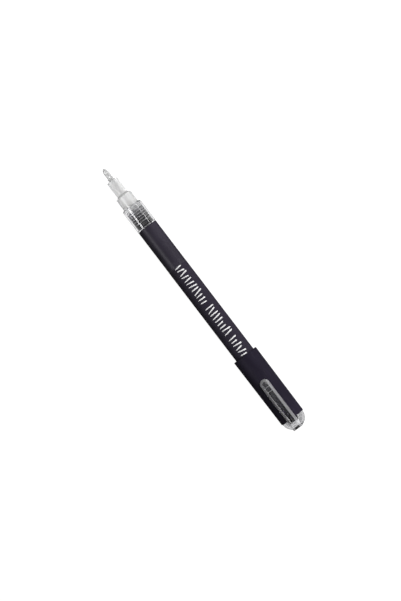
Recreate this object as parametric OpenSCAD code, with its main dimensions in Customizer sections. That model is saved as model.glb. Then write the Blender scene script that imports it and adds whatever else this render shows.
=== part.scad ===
// Acrylic paint brush pen with a see-through feed window, lying on its side, cap posted on the tail.
// X runs along the pen from the brush tip (-X) to the cap's end (+X), and the clip is on top (+Z).
// Each piece is drawn along its own z axis from the brush tip and then laid down by along_pen().

/* [Brush tip] */
// Length of the tip that stands out of the nozzle
tip_exposed = 6.8; // [4:0.1:8]
// Length of the tip's rounded point
tip_point = 4.6; // [3:0.1:6]
// Diameter of the tip
tip_d = 2.8; // [2:0.1:3.2]
// Length of the whole tip, with the shank inside the nozzle
tip_len = 18; // [16:0.5:20]
// Diameter of the fibre rod that feeds the tip
feed_d = 1.8; // [1.2:0.1:2.2]
// How far the feed rod reaches into the reservoir, behind the section's spigot
feed_reach = 4; // [2:0.5:10]

/* [Nozzle] */
// Diameter of the front tube
tube_d = 5.6; // [5:0.1:6.4]
// Length of the front tube
tube_len = 8.6; // [6:0.1:11]
// Diameter of the stepped part behind the tube
step_d = 8.3; // [7.6:0.1:8.4]
// Length of the stepped part
step_len = 7; // [5.8:0.1:9]
// Length of the cone between tube and step
shoulder_len = 0.9; // [0.6:0.1:1.6]
// Wall of the step
step_wall = 0.85; // [0.6:0.05:1]
// Length of the skirt that plugs into the window section
skirt_len = 2.1; // [1.5:0.1:2.4]

/* [Window section] */
// Outer diameter of the clear window
window_d = 10.5; // [9.8:0.05:10.55]
// Length of the clear window, from the step to the barrel
window_len = 12.65; // [12.2:0.05:18]
// Wall of the clear window
window_wall = 0.65; // [0.5:0.05:0.8]
// Length of the rounded front shoulder
window_shoulder = 1.3; // [0.8:0.1:1.6]
// Length of the flange against the barrel
flange_len = 0.6; // [0.5:0.1:1.5]
// How much the flange stands out from the window
flange_rise = 0.05; // [0.02:0.01:0.08]
// Length of the spigot inside the barrel
spigot_len = 6; // [4:0.5:10]
// Wall of the spigot
spigot_wall = 0.8; // [0.6:0.05:1]

/* [Collector] */
// Number of large fins
fin_count = 6; // [4:1:6]
// Distance from fin to fin
fin_pitch = 1.36; // [1:0.02:1.4]
// Thickness of a fin
fin_t = 0.45; // [0.3:0.05:0.6]
// Diameter of the core that carries the fins
core_d = 4; // [3.4:0.1:5]
// Diameter of the collector's nose inside the step
nose_d = 4.6; // [4.2:0.1:5]
// Number of small rings on the nose
ring_count = 4; // [2:1:4]
// Distance from ring to ring
ring_pitch = 0.9; // [0.7:0.05:1]
// Thickness of a small ring
ring_t = 0.35; // [0.2:0.05:0.5]
// Width of the feed slit through the fins
slit_w = 0.35; // [0.2:0.05:0.5]
// Width of the air notch opposite the slit
notch_w = 1.2; // [0.8:0.1:1.6]
// Thickness of the collector's rear disc
rear_disc_t = 0.8; // [0.5:0.1:1]

/* [Barrel] */
// Outer diameter of the barrel
barrel_d = 10.4; // [10.3:0.1:13]
// Wall of the barrel
barrel_wall = 0.8; // [0.6:0.1:0.9]
// Length of the barrel tube
barrel_len = 97.6; // [80:0.5:120]
// Rounding of the barrel's front edge
barrel_edge = 0.25; // [0.1:0.05:0.4]
// Length of bare barrel in front of the label
bare_len = 24.1; // [15:0.1:30]
// Length of bare barrel behind the label, hidden in the posted cap
tail_bare = 2.6; // [1:0.1:10]
// Thickness of the label film
film_t = 0.05; // [0.03:0.01:0.1]
// Depth of the tail plug inside the barrel
plug_depth = 5; // [3:0.5:8]
// Thickness of the tail plug's flange
plug_flange = 0.8; // [0.5:0.1:1.5]
// Wall of the tail plug's cup
plug_wall = 0.9; // [0.6:0.1:1.2]
// Diameter of the mixing ball
ball_d = 5; // [3:0.5:5]

/* [Cap] */
// How far the tail goes into the posted cap
post_depth = 20.05; // [15:0.05:24]
// Length of the coloured sleeve
sleeve_len = 38; // [34:0.5:44]
// Wall of the coloured sleeve
sleeve_wall = 0.4; // [0.3:0.05:0.5]
// How much the sleeve narrows in diameter from mouth to rear
sleeve_taper = 0.4; // [0:0.05:0.5]
// Thickness of the sleeve's lip round the mouth
lip_t = 0.6; // [0.4:0.1:1]
// Rounding of the sleeve's rear edge
sleeve_edge = 0.35; // [0.1:0.05:0.35]
// Wall of the clear shell at the mouth
shell_wall = 0.835; // [0.7:0.005:1]
// Length of the dome behind the sleeve
dome_len = 5.35; // [4.5:0.05:5.6]
// Wall of the dome
dome_wall = 1.1; // [0.8:0.1:1.3]
// Length of the liner's wide collar
collar_len = 7; // [5:0.5:8]
// Wall of the liner's collar
collar_wall = 1.04; // [0.8:0.02:1.1]
// Length of the liner's seal over the front tube
seal_len = 6.2; // [5:0.1:8]
// Wall of the liner's seal and tip chamber
liner_wall = 0.6; // [0.4:0.05:0.7]
// Outer diameter of the liner's tip chamber
chamber_d = 4.7; // [4.4:0.1:5]
// How far the tip chamber reaches past the sleeve into the dome
chamber_out = 1.75; // [1:0.05:2.4]

/* [Clip] */
// Length of the clip from its free end to the cap's end
clip_len = 29.2; // [24:0.1:36]
// Width of the clip at its base
clip_w = 5.2; // [4:0.1:5.4]
// Width of the clip's flat top
clip_top_w = 2.8; // [1.6:0.1:3]
// Thickness of the clip
clip_t = 1.25; // [1:0.05:1.6]
// Gap between the clip and the cap's mouth radius
clip_gap = 0.55; // [0.5:0.05:1.2]
// Length of the clip's root on the dome
root_len = 3.75; // [2.5:0.05:4]
// How far the bead stands out under the clip
bead_h = 0.4; // [0.2:0.05:0.45]
// Distance of the bead from the clip's free end
bead_back = 5.6; // [4:0.1:8]
// Radius of the bead's curve
bead_r = 3; // [2:0.5:5]

/* [Clearances] */
// Radial gap round the tip and the feed rod
rod_gap = 0.05; // [0.03:0.01:0.08]
// Radial gap between the collector and the clear pieces round it
fin_gap = 0.12; // [0.08:0.01:0.15]
// Radial gap between the label film and the cap
cap_gap = 0.09; // [0.06:0.01:0.12]
// Gap between the mixing ball and the barrel wall
ball_gap = 0.08; // [0.05:0.01:0.15]
// Gap between the mixing ball at rest and the feed rod's end
ball_stop = 0.3; // [0.1:0.1:1]
// Gap between the barrel's tail and the liner inside the cap
post_gap = 0.15; // [0.05:0.05:0.5]
// Gap between sleeve and shell
sleeve_gap = 0.02; // [0.01:0.01:0.04]

/* [Hidden] */
$fn = 96;
eps = 0.01;
arc_steps = 14;

// Radii
tip_r = tip_d / 2;
feed_r = feed_d / 2;
tube_r = tube_d / 2;
step_r = step_d / 2;
window_r = window_d / 2;
window_bore_r = window_r - window_wall;
flange_r = window_r + flange_rise;
core_r = core_d / 2;
nose_r = nose_d / 2;
barrel_r = barrel_d / 2;
barrel_bore_r = barrel_r - barrel_wall;
spigot_bore_r = barrel_bore_r - spigot_wall;
fin_r = window_bore_r - fin_gap;
label_r = barrel_r + film_t;
ball_r = ball_d / 2;
cap_bore_r = label_r + cap_gap;
shell_mouth_r = cap_bore_r + shell_wall;
sleeve_mouth_r = shell_mouth_r + sleeve_gap + sleeve_wall;
sleeve_rear_r = sleeve_mouth_r - sleeve_taper / 2;
dome_r = sleeve_rear_r - sleeve_wall - sleeve_gap;
seal_bore_r = tube_r + rod_gap;
chamber_r = chamber_d / 2;

// Stations along the pen, counted from the brush tip
tube_z = tip_exposed;
step_z = tube_z + tube_len;
window_z = step_z + step_len;
skirt_end = window_z + skirt_len;
barrel_z = window_z + window_len;
flange_z = barrel_z - flange_len;
spigot_end = barrel_z + spigot_len;
feed_end = spigot_end + feed_reach;
fin_z = skirt_end + ring_t / 2;
rear_disc_z = flange_z - rear_disc_t / 2;
nose_z = step_z + step_wall;
barrel_end = barrel_z + barrel_len;
tail_end = barrel_end + plug_flange;
label_z = barrel_z + bare_len;
label_end = barrel_end - tail_bare;
ball_z = feed_end + ball_stop + ball_r;
mouth_z = tail_end - post_depth;
liner_z = tail_end + post_gap;
seal_z = liner_z + collar_len;
chamber_z = seal_z + seal_len;
sleeve_end = mouth_z + sleeve_len;
chamber_end = sleeve_end + chamber_out;
overall_len = sleeve_end + dome_len;
clip_z = overall_len - clip_len;
root_z = overall_len - root_len;
bead_z = clip_z + bead_back;

// Heights above the pen's axis, and the axis above the table
clip_base = sleeve_mouth_r + clip_gap;
clip_top = clip_base + clip_t;
axis_h = sleeve_mouth_r;

// Lays a piece drawn along z down on the table, with its own +x up
module along_pen() {
    translate([-overall_len / 2, 0, axis_h]) rotate([0, 90, 0]) rotate([0, 0, 180]) children();
}

// A straight tube from z0 to z1; its bore runs through both ends
module tube(r_out, r_in, z0, z1) {
    difference() {
        translate([0, 0, z0]) cylinder(r = r_out, h = z1 - z0);
        translate([0, 0, z0 - 1]) cylinder(r = r_in, h = z1 - z0 + 2);
    }
}

// A bore from z0 to z1, for a difference
module bore(r, z0, z1) {
    translate([0, 0, z0]) cylinder(r = r, h = z1 - z0);
}

// Points of a quarter round that goes from radius r0 at z0 out to radius r1 at z1
function quarter_out(r0, r1, z0, z1, steps) = [for (i = [0:steps])
    [r0 + (r1 - r0) * sin(90 * i / steps), z1 - (z1 - z0) * cos(90 * i / steps)]];

// Points of a quarter round that goes from radius r1 at z0 in to radius r0 at z1
function quarter_in(r1, r0, z0, z1, steps) = [for (i = [0:steps])
    [r0 + (r1 - r0) * cos(90 * i / steps), z0 + (z1 - z0) * sin(90 * i / steps)]];

// Points on a ball's outline from its equator at z0 to where it is cut flat at height h
function dome_points(r, z0, h, steps) = [for (i = [0:steps])
    let (a = asin(h / r) * i / steps) [r * cos(a), z0 + r * sin(a)]];

module brush_tip() {
    point = quarter_out(0, tip_r, 0, tip_point, arc_steps);
    color("whitesmoke") along_pen() rotate_extrude()
        polygon(concat(point, [[tip_r, tip_len], [0, tip_len]]));
}

module feed_rod() {
    color("gainsboro") along_pen() translate([0, 0, tip_len]) cylinder(r = feed_r, h = feed_end - tip_len);
}

// Front tube, cone and step in one translucent moulding, with a skirt that plugs into the window
module nozzle() {
    skirt_r = window_bore_r;
    outline = concat(
        [[0, tube_z]],
        quarter_out(tube_r - barrel_edge, tube_r, tube_z, tube_z + barrel_edge, 4),
        [[tube_r, step_z]],
        [[step_r, step_z + shoulder_len], [step_r, window_z], [skirt_r, window_z],
            [skirt_r, skirt_end], [0, skirt_end]]);
    color("gainsboro") along_pen() difference() {
        rotate_extrude() polygon(outline);
        bore(tip_r + rod_gap, tube_z - 1, nose_z + eps);
        bore(step_r - step_wall, nose_z, skirt_end + 1);
    }
}

// Clear window with a rounded front shoulder, a flange against the barrel and a spigot inside it
module window_section() {
    outline = concat(
        quarter_out(step_r + 0.25, window_r, window_z, window_z + window_shoulder, 6),
        [[window_r, flange_z], [flange_r, flange_z + flange_rise], [flange_r, barrel_z],
            [barrel_bore_r, barrel_z], [barrel_bore_r, spigot_end], [0, spigot_end], [0, window_z]]);
    color("lightcyan") along_pen() difference() {
        rotate_extrude() polygon(outline);
        bore(window_bore_r, window_z - 1, flange_z);
        bore(spigot_bore_r, flange_z - eps, spigot_end + 1);
    }
}

// Finned core between tip and reservoir, with a feed slit on top and an air notch below
module collector() {
    ring_r = step_r - step_wall - fin_gap;
    rear_r = spigot_bore_r;
    color("white") along_pen() difference() {
        union() {
            bore(nose_r, nose_z, fin_z);
            for (i = [0:ring_count - 1]) {
                ring_z = window_z - i * ring_pitch;
                bore(ring_r, ring_z - ring_t, ring_z);
            }
            bore(core_r, fin_z - eps, spigot_end);
            for (i = [0:fin_count - 1]) bore(fin_r, fin_z + i * fin_pitch, fin_z + i * fin_pitch + fin_t);
            bore(fin_r, rear_disc_z - rear_disc_t / 2, flange_z);
            bore(rear_r, flange_z - eps, spigot_end);
        }
        bore(tip_r + rod_gap, nose_z - 1, tip_len);
        bore(feed_r + rod_gap, tip_len - eps, spigot_end + 1);
        translate([core_r - 0.4, -slit_w / 2, fin_z - 1]) cube([fin_r, slit_w, rear_disc_z - fin_z]);
        translate([-fin_r - 1, -notch_w / 2, fin_z - 1]) cube([1.8, notch_w, rear_disc_z - fin_z]);
    }
}

// Rings of paint that the gaps between the fins hold
module held_paint() {
    color("black") along_pen() {
        for (i = [0:fin_count - 2])
            tube(fin_r - 0.05, core_r, fin_z + i * fin_pitch + fin_t, fin_z + (i + 1) * fin_pitch);
        tube(fin_r - 0.05, core_r, fin_z + (fin_count - 1) * fin_pitch + fin_t, rear_disc_z - rear_disc_t / 2);
    }
}

module barrel() {
    outline = concat(
        [[barrel_bore_r, barrel_z]],
        quarter_out(barrel_r - barrel_edge, barrel_r, barrel_z, barrel_z + barrel_edge, 4),
        [[barrel_r, barrel_end], [barrel_bore_r, barrel_end]]);
    color("#31303a") along_pen() rotate_extrude() polygon(outline);
}

module label_wrap() {
    color("#28262e") along_pen() tube(label_r, barrel_r, label_z, label_end);
}

// The ball lies on the lower wall of the reservoir
module mixing_ball() {
    drop = barrel_bore_r - ball_r - ball_gap;
    color("silver") along_pen() translate([-drop, 0, ball_z]) sphere(r = ball_r);
}

module tail_plug() {
    plug_r = barrel_bore_r;
    color("#1d1c22") along_pen() difference() {
        union() {
            bore(plug_r, barrel_end - plug_depth, barrel_end + eps);
            bore(barrel_r - 0.15, barrel_end, tail_end);
        }
        bore(plug_r - plug_wall, barrel_end - plug_depth - 1, barrel_end - plug_wall);
    }
}

// Cross-section of the clip and its root, x up: a flat top between two slanted sides
module clip_section(base) {
    polygon([[base, -clip_w / 2], [clip_base, -clip_w / 2], [clip_top, -clip_top_w / 2],
        [clip_top, clip_top_w / 2], [clip_base, clip_w / 2], [base, clip_w / 2]]);
}

// Clear inner cap: a straight bore for the barrel, a hollow dome and the clip's root on top
module cap_shell() {
    inner_r = dome_r - dome_wall;
    outline = concat(
        [[0, mouth_z + lip_t], [shell_mouth_r, mouth_z + lip_t]],
        dome_points(dome_r, sleeve_end, dome_len, arc_steps),
        [[0, overall_len]]);
    hollow = concat(
        [[0, sleeve_end - eps]],
        dome_points(inner_r, sleeve_end - eps, dome_len - dome_wall, arc_steps),
        [[0, overall_len - dome_wall - eps]]);
    color("azure") along_pen() difference() {
        union() {
            rotate_extrude() polygon(outline);
            translate([0, 0, root_z]) linear_extrude(root_len) clip_section(dome_r / 2);
        }
        bore(cap_bore_r, mouth_z, sleeve_end);
        rotate_extrude() polygon(hollow);
    }
}

// Dark inner cap: collar against the barrel's tail, seal for the front tube, chamber for the tip
module cap_liner() {
    seal_r = seal_bore_r + liner_wall;
    color("#2c2b33") along_pen() difference() {
        union() {
            bore(cap_bore_r, liner_z, seal_z + liner_wall);
            bore(seal_r, seal_z, chamber_z + liner_wall);
            bore(chamber_r, chamber_z, chamber_end);
        }
        bore(cap_bore_r - collar_wall, liner_z - 1, seal_z);
        bore(seal_bore_r, seal_z - eps, chamber_z);
        bore(chamber_r - liner_wall, chamber_z - eps, chamber_end - liner_wall);
    }
}

// Coloured sleeve over the shell, with a lip round the mouth and a rounded rear edge
module cap_sleeve() {
    outline = concat(
        [[cap_bore_r, mouth_z], [sleeve_mouth_r, mouth_z]],
        quarter_in(sleeve_rear_r, sleeve_rear_r - sleeve_edge, sleeve_end - sleeve_edge, sleeve_end, 5),
        [[sleeve_rear_r - sleeve_wall, sleeve_end], [sleeve_mouth_r - sleeve_wall, mouth_z + lip_t],
            [cap_bore_r, mouth_z + lip_t]]);
    color("#25222d") along_pen() rotate_extrude() polygon(outline);
}

// Springy arm of the clip, round at its free end, with a bead underneath
module cap_clip() {
    end_r = clip_w / 2;
    color("azure") along_pen() union() {
        translate([0, 0, clip_z + end_r]) linear_extrude(root_z - clip_z - end_r) clip_section(clip_base);
        translate([clip_base, 0, clip_z + end_r]) rotate([0, 90, 0])
            cylinder(r1 = end_r, r2 = clip_top_w / 2, h = clip_t);
        intersection() {
            translate([clip_base - bead_h + bead_r, 0, bead_z]) rotate([90, 0, 0])
                cylinder(r = bead_r, h = clip_top_w, center = true);
            translate([clip_base - bead_h - eps, -clip_w / 2, bead_z - bead_r])
                cube([bead_h + clip_t / 2, clip_w, 2 * bead_r]);
        }
    }
}

brush_tip();
feed_rod();
nozzle();
window_section();
collector();
held_paint();
barrel();
label_wrap();
mixing_ball();
tail_plug();
cap_shell();
cap_liner();
cap_sleeve();
cap_clip();
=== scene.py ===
"""A brush pen with a see-through feed window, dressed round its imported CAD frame.

The pen lies along X with its brush tip towards -X, the posted cap towards +X and the clip on
top. Sizes are in millimetres and stations count from the brush tip; PenAxis turns both into
the frame's metres.
"""

import logging
import math
from collections.abc import Callable, Sequence
from dataclasses import dataclass, field
from enum import Enum
from typing import ClassVar

import bmesh
import bpy
from mathutils import Matrix, Vector


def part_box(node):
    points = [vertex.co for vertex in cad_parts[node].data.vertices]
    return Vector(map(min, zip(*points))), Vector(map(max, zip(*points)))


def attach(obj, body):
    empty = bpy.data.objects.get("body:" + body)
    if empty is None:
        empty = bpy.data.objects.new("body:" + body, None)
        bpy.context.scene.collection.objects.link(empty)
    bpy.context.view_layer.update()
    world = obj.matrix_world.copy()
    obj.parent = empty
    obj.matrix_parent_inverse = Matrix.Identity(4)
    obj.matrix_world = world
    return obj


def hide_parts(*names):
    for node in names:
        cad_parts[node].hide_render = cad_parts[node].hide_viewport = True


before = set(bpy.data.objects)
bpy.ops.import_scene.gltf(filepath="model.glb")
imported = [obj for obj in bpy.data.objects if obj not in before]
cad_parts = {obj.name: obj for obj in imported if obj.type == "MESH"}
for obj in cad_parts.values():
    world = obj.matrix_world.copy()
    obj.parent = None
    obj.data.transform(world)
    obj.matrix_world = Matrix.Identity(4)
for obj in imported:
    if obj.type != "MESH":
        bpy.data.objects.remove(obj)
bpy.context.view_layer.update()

MM = 0.001
SEGMENTS = 144
SHARP_ANGLE = math.radians(32)
CLEAR = 0.01
STRAND_SIDES = 5

Colour = tuple[float, float, float]
Corner = tuple[float, ...]
Outline = list[Vector]
Ring = list[Vector]

log = logging.getLogger("brush_pen")


class Body(Enum):
    """The moving bodies of the frame."""

    PEN = "pen"
    BALL = "ball"
    CAP = "cap"
    CLIP = "clip"


class Slot(Enum):
    """The material slots of the record."""

    TIP_FIBRE = "tip_fibre"
    FEED_FIBRE = "feed_fibre"
    NOZZLE_CLEAR = "nozzle_clear"
    WINDOW_CLEAR = "window_clear"
    FEED_WHITE = "feed_white"
    PAINT_BLACK = "paint_black"
    BARREL_BLACK = "barrel_black"
    LABEL_FILM = "label_film"
    BALL_STEEL = "ball_steel"
    PLUG_BLACK = "plug_black"
    CAP_CLEAR = "cap_clear"
    LINER_DARK = "liner_dark"
    SLEEVE_BLACK = "sleeve_black"


# ---------------------------------------------------------------- node trees


class Desk:
    """Lays out one node tree. Every node comes from its add method."""

    def __init__(self, tree: bpy.types.NodeTree) -> None:
        """Keeps the tree that the nodes go into."""
        self.tree = tree
        self._coords: "Term | None" = None

    def add(
        self,
        kind: str,
        settings: dict[str, object] | None = None,
        sockets: dict[str | int, object] | None = None,
    ) -> bpy.types.Node:
        """Adds a node.

        Args:
            kind: The node's type name.
            settings: The node's own settings, which are set first. A ramp's stops are given
                as "stops", a list of position and colour.
            sockets: Values, terms or output sockets for the node's inputs, by name or index.

        Returns:
            The new node.
        """
        node = self.tree.nodes.new(kind)
        for key, value in (settings or {}).items():
            if key == "stops":
                self._set_stops(node.color_ramp, value)
            else:
                setattr(node, key, value)
        for key, value in (sockets or {}).items():
            self.feed(node, key, value)
        return node

    @staticmethod
    def _set_stops(ramp: bpy.types.ColorRamp, stops: Sequence[tuple[float, Colour]]) -> None:
        """Gives a colour ramp its stops."""
        while len(ramp.elements) < len(stops):
            ramp.elements.new(1.0)
        for element, (position, colour) in zip(ramp.elements, stops):
            element.position = position
            element.color = (*colour, 1.0)

    def feed(self, node: bpy.types.Node, key: str | int, value: object) -> None:
        """Links or sets one input of a node.

        Args:
            node: The node that is fed.
            key: The input's name or index.
            value: A Term, an output socket or a plain value.
        """
        if isinstance(key, int):
            socket = node.inputs[key]
        else:
            socket = next(s for s in node.inputs if s.name == key and s.enabled)
        if isinstance(value, Term):
            value = value.socket
        if isinstance(value, bpy.types.NodeSocket):
            self.tree.links.new(value, socket)
        elif socket.type == "RGBA" and len(value) == 3:
            socket.default_value = (*value, 1.0)
        else:
            socket.default_value = value

    def term(
        self,
        kind: str,
        settings: dict[str, object] | None = None,
        sockets: dict[str | int, object] | None = None,
        output: str | None = None,
    ) -> "Term":
        """Adds a node and gives one of its outputs.

        Args:
            kind: The node's type name.
            settings: As for add.
            sockets: As for add.
            output: The output's name, or None for the first that is in use.

        Returns:
            The output as a term.
        """
        node = self.add(kind, settings, sockets)
        found = next(s for s in node.outputs if s.enabled and output in (None, s.name))
        return Term(self, found)

    def vector(self, operation: str, *operands: object, output: str | None = None) -> "Term":
        """Adds a Vector Math node on the operands."""
        return self.term(
            "ShaderNodeVectorMath", {"operation": operation}, dict(enumerate(operands)), output
        )

    def mix(self, share: object, first: object, second: object) -> "Term":
        """Mixes two colours: share 0 gives the first, 1 the second."""
        return self.term(
            "ShaderNodeMix", {"data_type": "RGBA"}, {"Factor": share, "A": first, "B": second}
        )

    def xyz(self, **parts: object) -> "Term":
        """Joins the parts X, Y and Z that are given into a vector."""
        return self.term("ShaderNodeCombineXYZ", None, parts)

    def parts(self, vector: object) -> tuple["Term", "Term", "Term"]:
        """Splits a vector into x, y and z."""
        node = self.add("ShaderNodeSeparateXYZ", None, {0: vector})
        return tuple(Term(self, socket) for socket in node.outputs)

    @property
    def coords(self) -> "Term":
        """The surface's own place in the frame, in metres."""
        if self._coords is None:
            self._coords = self.term("ShaderNodeTexCoord", output="Object")
        return self._coords

    def noise(
        self, size: float, stretch: Colour = (1.0, 1.0, 1.0), detail: float = 3.0, seed: float = 0.0
    ) -> "Term":
        """Adds a noise pattern.

        Args:
            size: Size of its patches in millimetres.
            stretch: How much longer the patches are along X, Y and Z.
            detail: How much finer detail rides on them.
            seed: Shifts the pattern.

        Returns:
            The pattern, from about 0.2 to 0.8.
        """
        scales = tuple(1 / (size * MM * s) for s in stretch)
        shifted = self.vector("MULTIPLY_ADD", self.coords, scales, (seed, seed, seed))
        return self.term("ShaderNodeTexNoise", None, {0: shifted, "Scale": 1.0, "Detail": detail})

    def bump(self, height: object, depth: float, normal: object = None) -> "Term":
        """Adds a Bump node whose height of 1 stands depth millimetres high."""
        sockets = {"Height": height, "Distance": depth * MM, "Strength": 1.0}
        if normal is not None:
            sockets["Normal"] = normal
        return self.term("ShaderNodeBump", None, sockets)


class Term:
    """A socket that takes part in Python expressions on numbers."""

    def __init__(self, desk: Desk, socket: bpy.types.NodeSocket) -> None:
        """Wraps an output socket of a desk's tree."""
        self.desk = desk
        self.socket = socket

    def _math(self, operation: str, *operands: object) -> "Term":
        """Adds a Math node on the operands."""
        return self.desk.term(
            "ShaderNodeMath", {"operation": operation}, dict(enumerate(operands))
        )

    def __add__(self, other: object) -> "Term":
        """self + other"""
        return self._math("ADD", self, other)

    def __radd__(self, other: object) -> "Term":
        """other + self"""
        return self._math("ADD", other, self)

    def __sub__(self, other: object) -> "Term":
        """self - other"""
        return self._math("SUBTRACT", self, other)

    def __rsub__(self, other: object) -> "Term":
        """other - self"""
        return self._math("SUBTRACT", other, self)

    def __mul__(self, other: object) -> "Term":
        """self * other"""
        return self._math("MULTIPLY", self, other)

    def __rmul__(self, other: object) -> "Term":
        """other * self"""
        return self._math("MULTIPLY", other, self)

    def __truediv__(self, other: object) -> "Term":
        """self / other"""
        return self._math("DIVIDE", self, other)

    def sine(self) -> "Term":
        """The sine of an angle in radians."""
        return self._math("SINE", self)

    def cosine(self) -> "Term":
        """The cosine of an angle in radians."""
        return self._math("COSINE", self)

    def between(self, low: float, high: float) -> "Term":
        """Eases from 0 below low to 1 above high."""
        return self.desk.term(
            "ShaderNodeMapRange",
            {"interpolation_type": "SMOOTHSTEP"},
            {"Value": self, "From Min": low, "From Max": high},
        )


# ---------------------------------------------------------------- finishes


@dataclass(frozen=True)
class Finish:
    """A named surface. Subclasses give its fixed values and paint what varies.

    Fixed values go by socket. A string there names the field that holds the value.
    """

    name: str
    colour: Colour
    fixed: ClassVar[dict[str, object]] = {}

    def constants(self) -> dict[str, object]:
        """The shader's values that are the same all over."""
        return {
            socket: getattr(self, value) if isinstance(value, str) else value
            for socket, value in self.fixed.items()
        }

    def shade(self, share: float = 1.0, lift: float = 0.0) -> Colour:
        """The finish's colour, multiplied by a share and lifted."""
        return tuple(c * share + lift for c in self.colour)

    def paint(self, desk: Desk, shader: bpy.types.Node) -> None:
        """Feeds the shader what changes over the surface."""

    def material(self) -> bpy.types.Material:
        """Builds the material once and gives it to every piece that has this finish."""
        made = bpy.data.materials.get(self.name)
        if made is None:
            made = bpy.data.materials.new(self.name)
            made.use_nodes = True
            made.node_tree.nodes.clear()
            desk = Desk(made.node_tree)
            shader = desk.add("ShaderNodeBsdfPrincipled", None, self.constants())
            self.paint(desk, shader)
            desk.add("ShaderNodeOutputMaterial", None, {"Surface": shader.outputs[0]})
        return made


@dataclass(frozen=True)
class MouldedPlastic(Finish):
    """Opaque moulded plastic with a spark-eroded grain, flow clouds and handling scuffs."""

    fixed: ClassVar[dict[str, object]] = {"IOR": 1.49, "Specular IOR Level": "shine"}
    roughness: float = 0.42
    shine: float = 0.08
    grain: float = 0.22
    grain_depth: float = 0.003
    scuffs: float = 0.2

    def paint(self, desk: Desk, shader: bpy.types.Node) -> None:
        """Clouds and scuffs in the colour and gloss, grain in the relief."""
        cloud = desk.noise(7.0, (3.0, 1.0, 1.0), 2.0)
        scuff = desk.noise(0.5, (9.0, 1.0, 1.0), 4.0, 3.1).between(0.60, 0.72)
        body = desk.mix(cloud.between(0.3, 0.7), self.shade(0.82), self.shade(1.18))
        worn = self.shade(lift=0.03)
        desk.feed(shader, "Base Color", desk.mix(scuff * self.scuffs, body, worn))
        desk.feed(shader, "Roughness", self.roughness + (cloud - 0.5) * 0.12 + scuff * 0.12)
        grain = desk.noise(self.grain, detail=2.0, seed=7.7)
        desk.feed(shader, "Normal", desk.bump(grain, self.grain_depth))


@dataclass(frozen=True)
class LabelFilm(Finish):
    """Matte printed film, drawn tight round the barrel, a little rubbed at its two edges."""

    fixed: ClassVar[dict[str, object]] = {"IOR": 1.46, "Specular IOR Level": "shine"}
    front: float = 0.0
    rear: float = 0.1
    edge: float = 0.5
    shine: float = 0.05

    def paint(self, desk: Desk, shader: bpy.types.Node) -> None:
        """Rubbed edges, faint pull lines round the barrel and a fine matte tooth."""
        x, _, _ = desk.parts(desk.coords)
        near_front = 1 - (x - self.front).between(0.0, self.edge * MM)
        near_rear = 1 - (self.rear - x).between(0.0, self.edge * MM)
        pull = desk.noise(1.4, (1.0, 6.0, 6.0), 3.0, 1.3)
        tooth = desk.noise(0.09, detail=2.0)
        rubbed = (near_front + near_rear) * tooth
        body = desk.mix(pull.between(0.35, 0.7), self.colour, self.shade(1.15))
        desk.feed(shader, "Base Color", desk.mix(rubbed, body, self.shade(lift=0.05)))
        desk.feed(shader, "Roughness", 0.6 + (pull - 0.5) * 0.2)
        relief = desk.bump(pull, 0.012)
        desk.feed(shader, "Normal", desk.bump(tooth, 0.003, relief))


@dataclass(frozen=True)
class ScreenInk(Finish):
    """White screen-printed ink: opaque, slightly raised, thin where the mesh starved it."""

    fixed: ClassVar[dict[str, object]] = {"IOR": 1.5}

    def paint(self, desk: Desk, shader: bpy.types.Node) -> None:
        """Uneven cover in the colour and a soft ripple in the relief."""
        cover = desk.noise(0.7, (1.0, 2.0, 2.0), 4.0, 5.0)
        body = desk.mix(cover.between(0.28, 0.48), self.shade(0.62), self.colour)
        desk.feed(shader, "Base Color", body)
        desk.feed(shader, "Roughness", 0.42 + cover * 0.2)
        desk.feed(shader, "Normal", desk.bump(cover, 0.006))


@dataclass(frozen=True)
class ClearPlastic(Finish):
    """See-through moulded plastic: smooth, with hairline handling marks and a faint wave."""

    fixed: ClassVar[dict[str, object]] = {"IOR": 1.49, "Transmission Weight": "transmission"}
    roughness: float = 0.03
    transmission: float = 1.0
    wave: float = 0.0003
    marks: float = 0.12

    def paint(self, desk: Desk, shader: bpy.types.Node) -> None:
        """Tint clouds, hairlines in the gloss and a slow wave in the relief."""
        cloud = desk.noise(4.0, (2.0, 1.0, 1.0), 2.0)
        marks = desk.noise(0.25, (14.0, 1.0, 1.0), 3.0, 2.2).between(0.62, 0.70)
        desk.feed(shader, "Base Color", desk.mix(cloud, self.colour, self.shade(0.94)))
        desk.feed(shader, "Roughness", self.roughness + marks * self.marks)
        desk.feed(shader, "Normal", desk.bump(cloud, self.wave))


@dataclass(frozen=True)
class Fibre(Finish):
    """A bundle of fine fibres along the pen, with paint between them and some light through."""

    fixed: ClassVar[dict[str, object]] = {"IOR": 1.45, "Transmission Weight": "glow_through"}
    stain: Colour = (0.2, 0.2, 0.22)
    stained: float = 0.15
    glow_through: float = 0.0

    def paint(self, desk: Desk, shader: bpy.types.Node) -> None:
        """Fine lines along the fibres in the colour and the relief."""
        lines = desk.noise(0.07, (60.0, 1.0, 1.0), 3.0)
        bundles = desk.noise(0.3, (30.0, 1.0, 1.0), 2.0, 4.0)
        gaps = 1 - lines.between(0.3, 0.5)
        drawn = gaps * bundles.between(0.35, 0.6) * self.stained
        desk.feed(shader, "Base Color", desk.mix(drawn, self.colour, self.stain))
        desk.feed(shader, "Roughness", 0.6 + lines * 0.25)
        desk.feed(shader, "Normal", desk.bump(lines, 0.02, desk.bump(bundles, 0.03)))


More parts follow.
